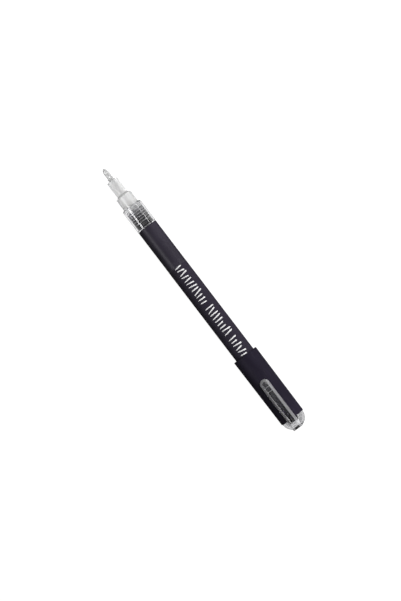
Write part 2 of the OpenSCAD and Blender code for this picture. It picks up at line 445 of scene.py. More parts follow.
@dataclass(frozen=True)
class StainedPlastic(Finish):
    """White feed plastic that paint has stained, more towards the rear and near the core."""

    fixed: ClassVar[dict[str, object]] = {"IOR": 1.5}
    stain: Colour = (0.16, 0.155, 0.17)
    front: float = 0.0
    rear: float = 0.02
    height: float = 0.0
    core: float = 2.0
    rim: float = 4.2
    strength: float = 0.75

    def paint(self, desk: Desk, shader: bpy.types.Node) -> None:
        """A stain that creeps from the rear and from the core, in blots."""
        x, _, _ = desk.parts(desk.coords)
        along = x.between(self.front, self.rear)
        centred = desk.vector("SUBTRACT", desk.coords, (0.0, 0.0, self.height))
        flat = desk.vector("MULTIPLY", centred, (0.0, 1.0, 1.0))
        depth = 1 - desk.vector("LENGTH", flat, output="Value").between(
            self.core * MM, self.rim * MM
        )
        blots = desk.noise(0.9, detail=4.0, seed=1.9)
        wet = (along * 1.1 + (blots - 0.5) * along + depth * along * 0.3) * self.strength
        desk.feed(shader, "Base Color", desk.mix(wet, self.colour, self.stain))
        desk.feed(shader, "Roughness", 0.42 - wet * 0.25)
        desk.feed(shader, "Normal", desk.bump(blots, 0.015))


@dataclass(frozen=True)
class WetPaint(Finish):
    """Liquid paint held by the fins: thin and grey at the front, full and black at the rear."""

    fixed: ClassVar[dict[str, object]] = {"IOR": 1.42, "Specular IOR Level": 0.1}
    thin: Colour = (0.20, 0.20, 0.21)
    front: float = 0.0
    rear: float = 0.02

    def paint(self, desk: Desk, shader: bpy.types.Node) -> None:
        """A shift from grey to black along the pen, broken up in blots and runs."""
        x, _, _ = desk.parts(desk.coords)
        blots = desk.noise(1.3, (0.5, 1.0, 1.0), 3.0, 8.0)
        along = (x - self.front) / (self.rear - self.front)
        full = (along + (blots - 0.5) * 0.5).between(0.05, 0.5)
        desk.feed(shader, "Base Color", desk.mix(full, self.thin, self.colour))
        desk.feed(shader, "Roughness", 0.2 + blots * 0.12)
        desk.feed(shader, "Normal", desk.bump(blots, 0.02))


@dataclass(frozen=True)
class BallSteel(Finish):
    """Polished bearing steel with fine rolling marks and a film of paint in patches."""

    fixed: ClassVar[dict[str, object]] = {"IOR": 2.5}
    film: Colour = (0.02, 0.02, 0.025)

    def paint(self, desk: Desk, shader: bpy.types.Node) -> None:
        """Paint patches take the metal away; rolling marks dull the gloss."""
        patches = desk.noise(1.6, detail=3.0).between(0.5, 0.62)
        marks = desk.noise(0.12, (8.0, 1.0, 1.0), 2.0)
        desk.feed(shader, "Base Color", desk.mix(patches, self.colour, self.film))
        desk.feed(shader, "Metallic", 1 - patches)
        desk.feed(shader, "Roughness", 0.14 + marks * 0.14 + patches * 0.2)
        desk.feed(shader, "Normal", desk.bump(marks, 0.002))


@dataclass(frozen=True)
class Ground(Finish):
    """The plain white of the floor and the surround, which glows by itself."""

    glow: float = 1.0
    fixed: ClassVar[dict[str, object]] = {
        "Base Color": "colour",
        "Roughness": 0.9,
        "Specular IOR Level": 0.0,
        "Emission Color": (1.0, 1.0, 1.0),
        "Emission Strength": "glow",
    }


# ---------------------------------------------------------------- shapes


@dataclass(frozen=True)
class PenAxis:
    """The pen's centre line, laid in the frame."""

    tip: float
    height: float

    @classmethod
    def from_frame(cls) -> "PenAxis":
        """Reads the line from the brush tip's front and the barrel's middle height."""
        low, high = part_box("barrel")
        return cls(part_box("brush_tip")[0].x, (low.z + high.z) / 2)

    def x(self, station: float) -> float:
        """The frame's x at a station."""
        return self.tip + station * MM

    def point(self, station: float, radius: float, turn: float) -> Vector:
        """A point in the frame.

        Args:
            station: Millimetres from the brush tip.
            radius: Millimetres from the centre line.
            turn: Radians round the line from the top towards +Y.

        Returns:
            The point in metres.
        """
        return Vector((
            self.x(station),
            radius * MM * math.sin(turn),
            self.height + radius * MM * math.cos(turn),
        ))


def arc_through(start: Vector, centre: Vector, end: Vector, steps: int) -> Outline:
    """Points from start to end on the arc round centre, which is under half a turn."""
    first, last = start - centre, end - centre
    sweep = first.angle(last)
    return [
        centre
        + (first * math.sin((1 - k / steps) * sweep) + last * math.sin(k / steps * sweep))
        / math.sin(sweep)
        for k in range(steps + 1)
    ]


def rounded(corners: Sequence[Corner], closed: bool, steps: int = 5) -> Outline:
    """Rounds the corners of an outline and puts support points beside them.

    Args:
        corners: Station, radius and, where a corner is rounded, its rounding.
        closed: Whether the last corner joins the first.
        steps: Steps of each rounding.

    Returns:
        The outline's points, station in x and radius in y.
    """
    points: Outline = []
    count = len(corners)
    for i, corner in enumerate(corners):
        here = Vector(corner[:2])
        rounding = corner[2] if len(corner) > 2 else 0.0
        if rounding <= 0.0 or (not closed and i in (0, count - 1)):
            points.append(here)
            continue
        back = Vector(corners[i - 1][:2]) - here
        ahead = Vector(corners[(i + 1) % count][:2]) - here
        half = back.angle(ahead) / 2
        reach = min(rounding / math.tan(half), 0.45 * back.length, 0.45 * ahead.length)
        back.normalize()
        ahead.normalize()
        centre = here + (back + ahead).normalized() * reach / math.cos(half)
        points += arc_through(here + back * reach, centre, here + ahead * reach, steps)
    return supported(points, closed)


def supported(points: Outline, closed: bool, gap: float = 0.04) -> Outline:
    """Adds a point close to each end of every straight, so that shading stays flat there."""
    out: Outline = []
    following = points[1:] + points[:1] if closed else points[1:]
    for here, there in zip(points, following):
        out.append(here)
        span = there - here
        if span.length > 6 * gap:
            step = span.normalized() * gap
            out += [here + step, there - step]
    return out if closed else out + points[-1:]


def nose(radius: float, length: float, steps: int) -> list[Corner]:
    """Corners of a rounded point, half an oval, from the centre line out to radius.

    Args:
        radius: Radius that the point widens to.
        length: Length of the point.
        steps: Number of steps.

    Returns:
        The corners.
    """
    turns = [math.pi / 2 * k / steps for k in range(steps + 1)]
    return [(length * (1 - math.cos(a)), radius * math.sin(a)) for a in turns]


def dome(radius: float, station: float, height: float, steps: int) -> list[Corner]:
    """Corners on a ball's outline from its equator at station to where it is cut at height."""
    top = math.asin(height / radius)
    return [
        (station + radius * math.sin(top * k / steps), radius * math.cos(top * k / steps))
        for k in range(steps + 1)
    ]


def as_piece(name: str, work: bmesh.types.BMesh) -> bpy.types.Object:
    """Turns mesh work into a smooth-shaded piece whose sharp edges stay sharp."""
    mesh = bpy.data.meshes.new(name)
    work.to_mesh(mesh)
    work.free()
    mesh.shade_smooth()
    mesh.set_sharp_from_angle(angle=SHARP_ANGLE)
    piece = bpy.data.objects.new(name, mesh)
    bpy.context.scene.collection.objects.link(piece)
    return piece


def skinned(name: str, rings: Sequence[Ring]) -> bpy.types.Object:
    """A closed piece made of equal loops in a row.

    Args:
        name: The piece's name.
        rings: The loops' points. The first and last loop are filled.

    Returns:
        The piece.
    """
    work = bmesh.new()
    loops = [[work.verts.new(point) for point in ring] for ring in rings]
    for low, high in zip(loops, loops[1:]):
        for k in range(len(low)):
            j = (k + 1) % len(low)
            work.faces.new((low[k], low[j], high[j], high[k]))
    work.faces.new(loops[0])
    work.faces.new(loops[-1])
    bmesh.ops.recalc_face_normals(work, faces=work.faces)
    return as_piece(name, work)


def lathe(
    name: str,
    axis: PenAxis,
    corners: Sequence[Corner],
    closed: bool,
    segments: int = SEGMENTS,
    steps: int = 5,
    swell: Callable[[float, float, float], float] | None = None,
) -> bpy.types.Object:
    """Turns an outline round the pen's centre line.

    Args:
        name: The piece's name.
        axis: The centre line.
        corners: The outline's corners, as for rounded.
        closed: Whether the outline is a loop. An open one starts and ends on the line.
        segments: Steps round the line.
        steps: Steps of each rounding.
        swell: Gives millimetres to add to the radius from station, radius and turn.

    Returns:
        The piece.
    """
    work = bmesh.new()
    turns = [2 * math.pi * k / segments for k in range(segments)]
    rings = []
    for station, radius in rounded(corners, closed, steps):
        if radius < 1e-6:
            rings.append([work.verts.new(axis.point(station, 0.0, 0.0))])
            continue
        extra = [swell(station, radius, turn) if swell else 0.0 for turn in turns]
        rings.append([
            work.verts.new(axis.point(station, radius + more, turn))
            for turn, more in zip(turns, extra)
        ])
    for low, high in zip(rings, rings[1:] + (rings[:1] if closed else [])):
        for k in range(segments):
            j = (k + 1) % segments
            if len(low) == 1:
                work.faces.new((low[0], high[j], high[k]))
            elif len(high) == 1:
                work.faces.new((low[k], low[j], high[0]))
            else:
                work.faces.new((low[k], low[j], high[j], high[k]))
    bmesh.ops.recalc_face_normals(work, faces=work.faces)
    return as_piece(name, work)


def finished(piece: bpy.types.Object, name: str) -> bpy.types.Object:
    """Applies a piece's modifiers and gives the plain result under a name.

    Args:
        piece: The object to apply. It is removed.
        name: The new piece's name.

    Returns:
        The new piece.
    """
    piece.update_tag()
    graph = bpy.context.evaluated_depsgraph_get()
    mesh = bpy.data.meshes.new_from_object(piece.evaluated_get(graph), depsgraph=graph)
    bpy.data.objects.remove(piece)
    mesh.name = name
    result = bpy.data.objects.new(name, mesh)
    bpy.context.scene.collection.objects.link(result)
    return result


def combined(
    base: bpy.types.Object, other: bpy.types.Object, operation: str, name: str
) -> bpy.types.Object:
    """Joins or cuts two closed pieces exactly; both are used up."""
    modifier = base.modifiers.new(operation, "BOOLEAN")
    modifier.operation = operation
    modifier.solver = "EXACT"
    modifier.object = other
    result = finished(base, name)
    bpy.data.objects.remove(other)
    return result


def softened(
    piece: bpy.types.Object, name: str, width: float, segments: int = 3, angle: float = 30.0
) -> bpy.types.Object:
    """Rounds a piece's sharp edges with a bevel whose flats keep their shading."""
    bevel = piece.modifiers.new("Bevel", "BEVEL")
    bevel.width = width * MM
    bevel.segments = segments
    bevel.limit_method = "ANGLE"
    bevel.angle_limit = math.radians(angle)
    bevel.harden_normals = True
    return finished(piece, name)


# ---------------------------------------------------------------- growth


class Growth:
    """A Geometry Nodes tree with named inputs that grows a piece from a seed mesh."""

    def __init__(self, name: str, inputs: dict[str, str]) -> None:
        """Opens the tree.

        Args:
            name: The tree's name.
            inputs: Each input's name and kind, such as Float, Int or Material.
        """
        self.tree = bpy.data.node_groups.new(name, "GeometryNodeTree")
        self.desk = Desk(self.tree)
        face = self.tree.interface
        face.new_socket("Geometry", in_out="OUTPUT", socket_type="NodeSocketGeometry")
        for label, kind in {"Seed": "Geometry", **inputs, "Finish": "Material"}.items():
            face.new_socket(label, in_out="INPUT", socket_type=f"NodeSocket{kind}")
        self._given = self.desk.add("NodeGroupInput")
        self.grow()

    def grow(self) -> None:
        """Builds the tree between its input and its end. Subclasses say how."""

    def given(self, label: str) -> Term:
        """An input of the tree."""
        return Term(self.desk, self._given.outputs[label])

    def line(self, count: object, pitch: object, start: object = 0.0) -> Term:
        """A row of points along X."""
        desk = self.desk
        return desk.term(
            "GeometryNodeMeshLine",
            {"mode": "OFFSET"},
            {
                "Count": count,
                "Start Location": desk.xyz(X=start),
                "Offset": desk.xyz(X=pitch),
            },
        )

    def moved(self, geometry: Term, height: object) -> Term:
        """Lifts geometry by a height."""
        lift = self.desk.xyz(Z=height)
        return self.desk.term(
            "GeometryNodeTransform", None, {"Geometry": geometry, "Translation": lift}
        )

    def close(self, geometry: Term, realize: bool = True) -> None:
        """Ends the tree in plain geometry with its material."""
        desk = self.desk
        if realize:
            geometry = desk.term("GeometryNodeRealizeInstances", None, {"Geometry": geometry})
        dressed = desk.term(
            "GeometryNodeSetMaterial",
            None,
            {"Geometry": geometry, "Material": self.given("Finish")},
        )
        desk.add("NodeGroupOutput", None, {"Geometry": dressed})

    def run(
        self, seed: bpy.types.Object, name: str, finish: Finish, **values: float | int
    ) -> bpy.types.Object:
        """Grows a plain piece from a seed.

        Args:
            seed: The seed piece, which is used up.
            name: The new piece's name.
            finish: Its finish.
            values: Values for the tree's inputs, by name in lower case.

        Returns:
            The new piece.
        """
        modifier = seed.modifiers.new(self.tree.name, "NODES")
        modifier.node_group = self.tree
        for item in self.tree.interface.items_tree:
            key = item.name.lower().replace(" ", "_")
            if item.in_out == "INPUT" and key in values:
                modifier[item.identifier] = values[key]
            elif item.in_out == "INPUT" and item.name == "Finish":
                modifier[item.identifier] = finish.material()
        return finished(seed, name)


class RowGrowth(Growth):
    """Repeats the seed along the pen."""

    def __init__(self) -> None:
        """Opens the tree with a count and a pitch."""
        super().__init__("row_along_pen", {"Count": "Int", "Pitch": "Float"})

    def grow(self) -> None:
        """One instance of the seed on each point of a line."""
        points = self.line(self.given("Count"), self.given("Pitch"))
        sockets = {"Points": points, "Instance": self.given("Seed")}
        self.close(self.desk.term("GeometryNodeInstanceOnPoints", None, sockets))


class RingGrowth(Growth):
    """Repeats the seed round the pen's centre line."""

    def __init__(self) -> None:
        """Opens the tree with a count and the line's height."""
        super().__init__("ring_round_pen", {"Count": "Int", "Height": "Float"})

    def grow(self) -> None:
        """Turned instances about the line, laid down at its height again."""
        desk = self.desk
        index = desk.term("GeometryNodeInputIndex")
        turn = index * (2 * math.pi) / self.given("Count")
        sockets = {
            "Points": self.line(self.given("Count"), 0.0),
            "Instance": self.moved(self.given("Seed"), 0 - self.given("Height")),
            "Rotation": desk.xyz(X=turn),
        }
        ring = desk.term("GeometryNodeInstanceOnPoints", None, sockets)
        real = desk.term("GeometryNodeRealizeInstances", None, {"Geometry": ring})
        self.close(self.moved(real, self.given("Height")), realize=False)


class DabGrowth(Growth):
    """Prints a row of leaning paint dabs on the barrel."""

    def __init__(self) -> None:
        """Opens the tree with the row's place, the dabs' spread and the barrel's size."""
        floats = ("Start", "Pitch", "Shortest", "Lean", "Half Band", "Shift", "Radius", "Height")
        inputs = {"Count": "Int", "Seed Number": "Int", **{label: "Float" for label in floats}}
        super().__init__("dabs_on_barrel", inputs)

    def chance(self, low: object, high: object, salt: int) -> Term:
        """A random number for each dab."""
        sockets = {"Min": low, "Max": high, "Seed": self.given("Seed Number") + salt}
        return self.desk.term("FunctionNodeRandomValue", {"data_type": "FLOAT"}, sockets)

    def grow(self) -> None:
        """Instances of random length and lean on a line, wrapped round the barrel."""
        desk = self.desk
        points = self.line(self.given("Count"), self.given("Pitch"), self.given("Start"))
        length = self.chance(self.given("Shortest"), 1.0, 1)
        side = self.chance(-1.0, -0.7, 2)
        slide = side * (1 - length) * self.given("Half Band")
        lean = self.chance(0 - self.given("Lean"), self.given("Lean"), 3)
        sockets = {"Geometry": points, "Offset": desk.xyz(Y=slide)}
        slid = desk.term("GeometryNodeSetPosition", None, sockets)
        sockets = {
            "Points": slid,
            "Instance": self.given("Seed"),
            "Rotation": desk.xyz(Z=lean),
            "Scale": desk.xyz(X=1.0, Y=length, Z=1.0),
        }
        dabs = desk.term("GeometryNodeInstanceOnPoints", None, sockets)
        real = desk.term("GeometryNodeRealizeInstances", None, {"Geometry": dabs})
        x, y, z = desk.parts(desk.term("GeometryNodeInputPosition"))
        turn = (y + self.given("Shift")) / self.given("Radius")
        out = self.given("Radius") + z
        height = self.given("Height") + out * turn.cosine()
        place = desk.xyz(X=x, Y=out * turn.sine(), Z=height)
        wrapped = desk.term("GeometryNodeSetPosition", None, {"Geometry": real, "Position": place})
        self.close(wrapped, realize=False)


# ---------------------------------------------------------------- handing over


@dataclass
class Bench:
    """Hands finished pieces to the frame and holds the growths that several classes use."""

    axis: PenAxis
    row: RowGrowth = field(default_factory=RowGrowth)
    ring: RingGrowth = field(default_factory=RingGrowth)
    dabs: DabGrowth = field(default_factory=DabGrowth)

    def hand_over(
        self,
        piece: bpy.types.Object,
        body: Body,
        finish: Finish | None = None,
        replaces: Sequence[str] = (),
    ) -> None:
        """Dresses a piece, makes it ride and reports it.

        Args:
            piece: The finished piece.
            body: The body that it rides on.
            finish: Its finish, or None where it is dressed already.
            replaces: CAD nodes that it stands for.
        """
        if finish is not None:
            piece.data.materials.clear()
            piece.data.materials.append(finish.material())
        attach(piece, body.value)
        if replaces:
            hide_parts(*replaces)
        log.info("%s: %d faces on %s", piece.name, len(piece.data.polygons), body.value)

    def carry_over(self, node: str, finish: Finish) -> None:
        """Dresses a CAD node that keeps its own shape."""
        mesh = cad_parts[node].data
        if not mesh.materials:
            mesh.materials.append(None)
        for k in range(len(mesh.materials)):
            mesh.materials[k] = finish.material()
        log.info("%s: kept from the frame", node)


# ---------------------------------------------------------------- the pen


@dataclass
class TipAssembly:
    """The fibre brush tip and the fibre rod that feeds it."""

    radius: float = 1.4
    point_len: float = 4.6
    length: float = 18.0
    strands: int = 60
    strand_r: float = 0.085
    rod_r: float = 0.9
    rod_end: float = 45.05
    tip_fibre: Fibre = Fibre(
        "brush_fibre", (0.95, 0.95, 0.95), stained=0.06, glow_through=0.62
    )
    rod_fibre: Fibre = Fibre("rod_fibre", (0.5, 0.5, 0.52), (0.03, 0.03, 0.035), 0.9)

    def outline(self) -> list[Corner]:
        """Corners of the tip from its point to the end of its shank."""
        point = nose(self.radius, self.point_len, 18)
        return [*point, (self.length - 0.2, self.radius), (self.length, self.radius - 0.15)]

    def core(self, axis: PenAxis) -> bpy.types.Object:
        """The bundle's core, just inside its outer strands."""
        inner = self.strand_r
        corners = [(z, r - inner) for z, r in self.outline() if r > 1.5 * inner]
        corners = [(corners[0][0], 0.0), *corners, (self.length, 0.0)]
        return lathe("tip_core", axis, corners, False, 72)

    def strand(self, axis: PenAxis) -> bpy.types.Object:
        """One outer strand at the top, which narrows towards the point."""
        turns = [2 * math.pi * k / STRAND_SIDES for k in range(STRAND_SIDES)]
        rings = []
        for station, radius in self.outline():
            thick = self.strand_r * (0.3 + 0.7 * min(1.0, radius / self.radius))
            middle = max(0.0, radius - thick)
            rings.append([
                axis.point(station, middle + thick * math.cos(turn), 0.0)
                + Vector((0, thick * MM * math.sin(turn), 0))
                for turn in turns
            ])
        return skinned("strand_seed", rings)

    def rod(self, axis: PenAxis) -> bpy.types.Object:
        """The feed rod: a fluted fibre rod with chamfered ends."""
        edge = 0.12
        corners = [
            (self.length, 0.0),
            (self.length, self.rod_r - edge),
            (self.length + edge, self.rod_r),
            (self.rod_end - edge, self.rod_r),
            (self.rod_end, self.rod_r - edge),
            (self.rod_end, 0.0),
        ]
        flutes, depth = 24, 0.03

        def flute(_station: float, radius: float, turn: float) -> float:
            """Shallow grooves between the rod's fibre bundles."""
            return -depth * radius * (1 + math.cos(flutes * turn)) / 2

        return lathe("feed_rod_fluted", axis, corners, False, 6 * flutes, swell=flute)

    def build(self, bench: Bench) -> None:
        """Makes the tip and the rod and hands them over."""
        axis = bench.axis
        core = self.core(axis)
        bench.hand_over(core, Body.PEN, self.tip_fibre, ["brush_tip"])
        strands = bench.ring.run(
            self.strand(axis), "tip_strands", self.tip_fibre, count=self.strands, height=axis.height
        )
        bench.hand_over(strands, Body.PEN)
        rod = self.rod(axis)
        bench.hand_over(rod, Body.PEN, self.rod_fibre, ["feed_rod"])


@dataclass
class NozzleAssembly:
    """The milky moulding that holds the tip: front tube, cone and step."""

    mouth: float = 6.8
    tube_r: float = 2.8
    step: float = 15.4
    shoulder_len: float = 0.9
    step_r: float = 4.15
    window: float = 22.4
    skirt_r: float = 4.57
    skirt_end: float = 24.5
    bore_r: float = 1.45
    wall: float = 0.85
    milky: ClearPlastic = ClearPlastic(
        "milky_nozzle", (0.97, 0.97, 0.97), roughness=0.28, transmission=0.7, wave=0.0002
    )

    def build(self, bench: Bench) -> None:
        """Makes the nozzle and hands it over."""
        inner_r = self.step_r - self.wall
        corners = [
            (self.mouth, self.bore_r, 0.1),
            (self.mouth, self.tube_r, 0.3),
            (self.step, self.tube_r, 0.25),
            (self.step + self.shoulder_len, self.step_r, 0.35),
            (self.window, self.step_r, 0.12),
            (self.window, self.skirt_r, 0.06),
            (self.skirt_end, self.skirt_r, 0.15),
            (self.skirt_end, inner_r, 0.1),
            (self.step + self.wall, inner_r, 0.2),
            (self.step + self.wall, self.bore_r, 0.1),
        ]
        nozzle = lathe("nozzle_moulding", bench.axis, corners, True)
        bench.hand_over(nozzle, Body.PEN, self.milky, ["nozzle"])


@dataclass
class WindowAssembly:
    """The clear window, the finned collector inside it and the paint between the fins."""

    front: float = 22.4
    lip_r: float = 4.67
    bore_r: float = 4.6
    radius: float = 5.25
    shoulder_len: float = 1.3
    flange: float = 34.45
    flange_r: float = 5.3
    barrel: float = 35.05
    spigot_r: float = 4.38
    spigot_bore_r: float = 3.6
    spigot_end: float = 41.05
    nose_start: float = 16.25
    nose_r: float = 2.3
    skirt_end: float = 24.5
    nose_end: float = 24.7
    tip_bore_r: float = 1.45
    tip_end: float = 18.0
    rod_bore_r: float = 0.95
    core_r: float = 2.0
    ring_first: float = 19.35
    ring_count: int = 4
    ring_pitch: float = 0.9
    ring_r: float = 3.17
    ring_t: float = 0.35
    fin_first: float = 24.675
    fin_count: int = 6
    fin_pitch: float = 1.36
    fin_r: float = 4.48
    disc_r: float = 4.44
    fin_t: float = 0.45
    fin_edge: float = 0.07
    slit_w: float = 0.35
    slit_floor: float = 1.65
    notch_w: float = 1.2
    notch_floor: float = 3.68
    disc_start: float = 33.65
    paint_r: float = 4.46
    # The slight grey tint stands in for the dark that the window's walls refract: painted shade.
    clear: ClearPlastic = ClearPlastic("clear_window", (0.90, 0.90, 0.91), roughness=0.03)

    def window_corners(self) -> list[Corner]:
        """The window's corners: rounded shoulder, flange against the barrel and spigot."""
        rise = self.radius - self.lip_r
        steps = 8
        shoulder = [
            (
                self.front + self.shoulder_len * (1 - math.cos(math.pi / 2 * k / steps)),
                self.lip_r + rise * math.sin(math.pi / 2 * k / steps),
            )
            for k in range(steps + 1)
        ]
        return [
            *shoulder,
            (self.flange - 0.05, self.radius, 0.03),
            (self.flange + 0.02, self.flange_r, 0.03),
            (self.barrel, self.flange_r, 0.05),
            (self.barrel, self.spigot_r, 0.05),
            (self.spigot_end, self.spigot_r, 0.3),
            (self.spigot_end, self.spigot_bore_r, 0.1),
            (self.flange, self.spigot_bore_r, 0.1),
            (self.flange, self.bore_r, 0.15),
            (self.front, self.bore_r, 0.02),
        ]

    def fin(self, axis: PenAxis) -> bpy.types.Object:
        """One large fin with its feed slit on top and its air notch below."""
        half_slit, half_notch = self.slit_w / 2, self.notch_w / 2
        slit_turn = math.asin(half_slit / self.fin_r)
        notch_turn = math.asin(half_notch / self.fin_r)
        steps = 48
        sweep = math.pi - notch_turn - slit_turn
        half = [(half_slit, self.slit_floor)]
        half += [
            (
                self.fin_r * math.sin(slit_turn + sweep * k / steps),
                self.fin_r * math.cos(slit_turn + sweep * k / steps),
            )
            for k in range(steps + 1)
        ]
        half += [(half_notch, -self.notch_floor)]
        plan = half + [(-y, z) for y, z in reversed(half)]
        sharp = skinned("fin_sharp", [
            [Vector((axis.x(station), y * MM, axis.height + z * MM)) for y, z in plan]
            for station in (self.fin_first, self.fin_first + self.fin_t)
        ])
        return softened(sharp, "fin_seed", self.fin_edge, 2, 50.0)

    @staticmethod
    def plain_ring(
        axis: PenAxis, name: str, spans: tuple[float, float, float, float], rounding: float
    ) -> bpy.types.Object:
        """A ring round the core, rounded at its rim.

        Args:
            axis: The pen's centre line.
            name: The piece's name.
            spans: Start and end stations, inner and outer radius.
            rounding: Rounding of its two outer edges.

        Returns:
            The ring.
        """
        start, end, inner, outer = spans
        corners = [(start, inner), (start, outer, rounding), (end, outer, rounding), (end, inner)]
        return lathe(name, axis, corners, True, 96, 3)

    def nose_ring(self, axis: PenAxis) -> bpy.types.Object:
        """One small ring of the collector's nose."""
        start, end = self.ring_first, self.ring_first + self.ring_t
        spans = (start, end, self.nose_r - 0.1, self.ring_r)
        return self.plain_ring(axis, "nose_ring_seed", spans, 0.1)

    def core(self, axis: PenAxis) -> bpy.types.Object:
        """The collector's core with its nose and its rear disc."""
        disc_end = self.flange - 0.02
        rear_r = self.spigot_bore_r - 0.03
        corners = [
            (self.nose_start, self.tip_bore_r),
            (self.nose_start, self.nose_r, 0.2),
            (self.nose_end, self.nose_r, 0.1),
            (self.nose_end, self.core_r),
            (self.disc_start, self.core_r, 0.1),
            (self.disc_start, self.disc_r, 0.08),
            (disc_end, self.disc_r, 0.08),
            (disc_end, rear_r, 0.05),
            (self.spigot_end, rear_r, 0.3),
            (self.spigot_end, self.rod_bore_r, 0.1),
            (self.tip_end, self.rod_bore_r),
            (self.tip_end, self.tip_bore_r),
        ]
        return lathe("collector_core", axis, corners, True, 96, 3)

    def paint_ring(self, axis: PenAxis, start: float, end: float) -> bpy.types.Object:
        """Paint between two fins, which wets the window's wall."""
        spans = (start, end, self.core_r + 2 * CLEAR, self.paint_r)
        return self.plain_ring(axis, "paint_seed", spans, 0.05)

    def rear_paint(self, axis: PenAxis) -> bpy.types.Object:
        """The widest paint ring, which also wets the wall round the rear disc."""
        start = self.fin_first + (self.fin_count - 1) * self.fin_pitch + self.fin_t + CLEAR
        inner, disc = self.core_r + 2 * CLEAR, self.disc_r + CLEAR
        end = self.disc_start - CLEAR
        corners = [
            (start, inner), (start, self.paint_r, 0.05), (self.flange, self.paint_r, 0.05),
            (self.flange, disc), (end, disc), (end, inner),
        ]
        return lathe("paint_ring_wide", axis, corners, True, 96, 3)

    def build(self, bench: Bench) -> None:
        """Makes the window, the collector and the paint and hands them over."""
        axis = bench.axis
        window = lathe("window_tube", axis, self.window_corners(), True)
        bench.hand_over(window, Body.PEN, self.clear, ["window_section"])
        white = StainedPlastic(
            "feed_plastic",
            (0.78, 0.78, 0.77),
            front=axis.x(self.skirt_end - 1.2),
            rear=axis.x(self.skirt_end + 3.0),
            height=axis.height,
        )
        core = self.core(axis)
        bench.hand_over(core, Body.PEN, white, ["collector"])
        fins = bench.row.run(
            self.fin(axis), "collector_fins", white, count=self.fin_count, pitch=self.fin_pitch * MM
        )
        bench.hand_over(fins, Body.PEN)
        rings = bench.row.run(
            self.nose_ring(axis), "collector_nose_rings", white,
            count=self.ring_count, pitch=self.ring_pitch * MM,
        )
        bench.hand_over(rings, Body.PEN)
        paint = WetPaint(
            "wet_paint",
            (0.008, 0.007, 0.010),
            front=axis.x(self.fin_first),
            rear=axis.x(self.disc_start),
        )
        gap_start = self.fin_first + self.fin_t + CLEAR
        gap_end = self.fin_first + self.fin_pitch - CLEAR
        seed = self.paint_ring(axis, gap_start, gap_end)
        held = bench.row.run(
            seed, "paint_rings", paint, count=self.fin_count - 1, pitch=self.fin_pitch * MM
        )
        bench.hand_over(held, Body.PEN, replaces=["held_paint"])
        bench.hand_over(self.rear_paint(axis), Body.PEN, paint)


